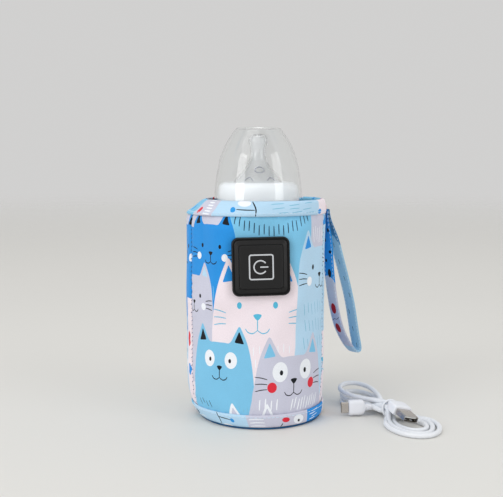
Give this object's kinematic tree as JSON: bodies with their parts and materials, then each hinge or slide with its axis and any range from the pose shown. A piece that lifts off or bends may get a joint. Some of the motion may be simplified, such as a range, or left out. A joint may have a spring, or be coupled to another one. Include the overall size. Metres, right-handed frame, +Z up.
{
  "type": "bottle warmer",
  "caption": "Round padded fabric bottle warmer with a square push-button controller and wrist strap, holding a hooded feeding bottle, with its tied charging cable beside it.",
  "frame": {"origin": "centre of the fabric base, on its flat underside", "axes": "+Z up, the controller faces -Y, the wrist strap hangs at +X"},
  "size_m": [0.1872, 0.1312, 0.2196],
  "materials": {
    "printed_fabric": "matt twill-woven polyester with a printed pattern",
    "band_fabric": "matt printed binding tape",
    "strap_fabric": "matt printed tape",
    "foam": "soft closed-cell foam",
    "lining_foil": "satin foil on a thin backing",
    "heater_film": "thin film",
    "wire": "bare heating wire",
    "controller_black": "satin black silicone over plastic",
    "icon_grey": "light grey translucent print",
    "circuit_board": "green circuit board",
    "inner_plastic": "moulded plastic",
    "led_lens": "clear resin",
    "plated_steel": "plated sheet steel",
    "base_board": "stiff sheet",
    "clear_plastic": "clear polished plastic",
    "clear_silicone": "clear soft silicone",
    "white_plastic": "white polished plastic",
    "white_cord": "white satin cable jacket and moulded plugs"
  },
  "bodies": {
    "bag": {"outer_front_panel": "printed_fabric", "outer_back_panel": "printed_fabric", "insulation_foam": "foam", "heating_wire": "wire", "heater_film": "heater_film", "inner_lining": "lining_foil", "base_fabric": "printed_fabric", "base_board": "base_board", "base_foam": "foam", "rim_binding": "band_fabric", "base_binding": "band_fabric", "controller_cover": "controller_black", "control_board": "circuit_board", "switch_body": "inner_plastic", "control_chip": "inner_plastic", "status_led_1": "led_lens", "status_led_2": "led_lens", "status_led_3": "led_lens", "controller_back_plate": "inner_plastic", "controller_screw_1": "plated_steel", "controller_screw_2": "plated_steel", "controller_screw_3": "plated_steel", "controller_screw_4": "plated_steel", "temperature_sensor": "inner_plastic", "thermal_cutoff": "plated_steel", "heater_lead": "inner_plastic", "inlet_lead": "inner_plastic", "inlet_housing": "controller_black", "inlet_contact_blade": "inner_plastic"},
    "button": {"button_pad": "controller_black", "icon_frame": "icon_grey", "icon_arc": "icon_grey", "icon_bar": "icon_grey", "switch_plunger": "inner_plastic"},
    "strap": {"wrist_strap": "strap_fabric"},
    "bottle": {"bottle_body": "clear_plastic"},
    "teat": {"bottle_teat": "clear_silicone"},
    "collar": {"bottle_collar": "white_plastic"},
    "hood": {"bottle_hood": "clear_plastic"},
    "cable": {"cable_coil_rear": "white_cord", "cable_coil_front": "white_cord", "cable_waist": "white_cord", "cable_tie": "white_cord", "cable_lead": "white_cord", "usb_c_shell": "plated_steel", "usb_c_body": "white_cord", "usb_c_strain_relief": "white_cord", "usb_a_shell": "plated_steel", "usb_a_insert": "white_plastic", "usb_a_body": "white_cord", "usb_a_strain_relief": "white_cord"}
  },
  "joints": [
    {"name": "button_press", "type": "slide", "parent": "bag", "child": "button", "axis": [0, 1, 0], "range_m": [0, 0.0006], "stiffness_N_per_m": 900},
    {"name": "strap_swing", "type": "hinge", "parent": "bag", "child": "strap", "pos_m": [0.055, 0.004, 0.157], "axis": [0.0698, -0.9976, 0], "range_deg": [0, 150]},
    {"name": "bottle_lift", "type": "slide", "parent": "bag", "child": "bottle", "axis": [0, 0, 1], "range_m": [0, 0.2]},
    {"name": "teat_rise", "type": "slide", "parent": "bottle", "child": "teat", "axis": [0, 0, 1], "range_m": [0, 0.008]},
    {"name": "collar_unscrew", "type": "hinge", "parent": "teat", "child": "collar", "pos_m": [0.0012, 0, 0.17], "axis": [0, 0, 1], "range_deg": [0, 540]},
    {"name": "hood_lift", "type": "slide", "parent": "collar", "child": "hood", "axis": [0, 0, 1], "range_m": [0, 0.06]},
    {"name": "cable_move", "type": "slide", "parent": "bag", "child": "cable", "axis": [1, 0, 0], "range_m": [0, 0.12]}
  ],
  "couplings": [
    {"joint": "teat_rise", "follows": "collar_unscrew", "m_per_rad": 0.00079577}
  ]
}
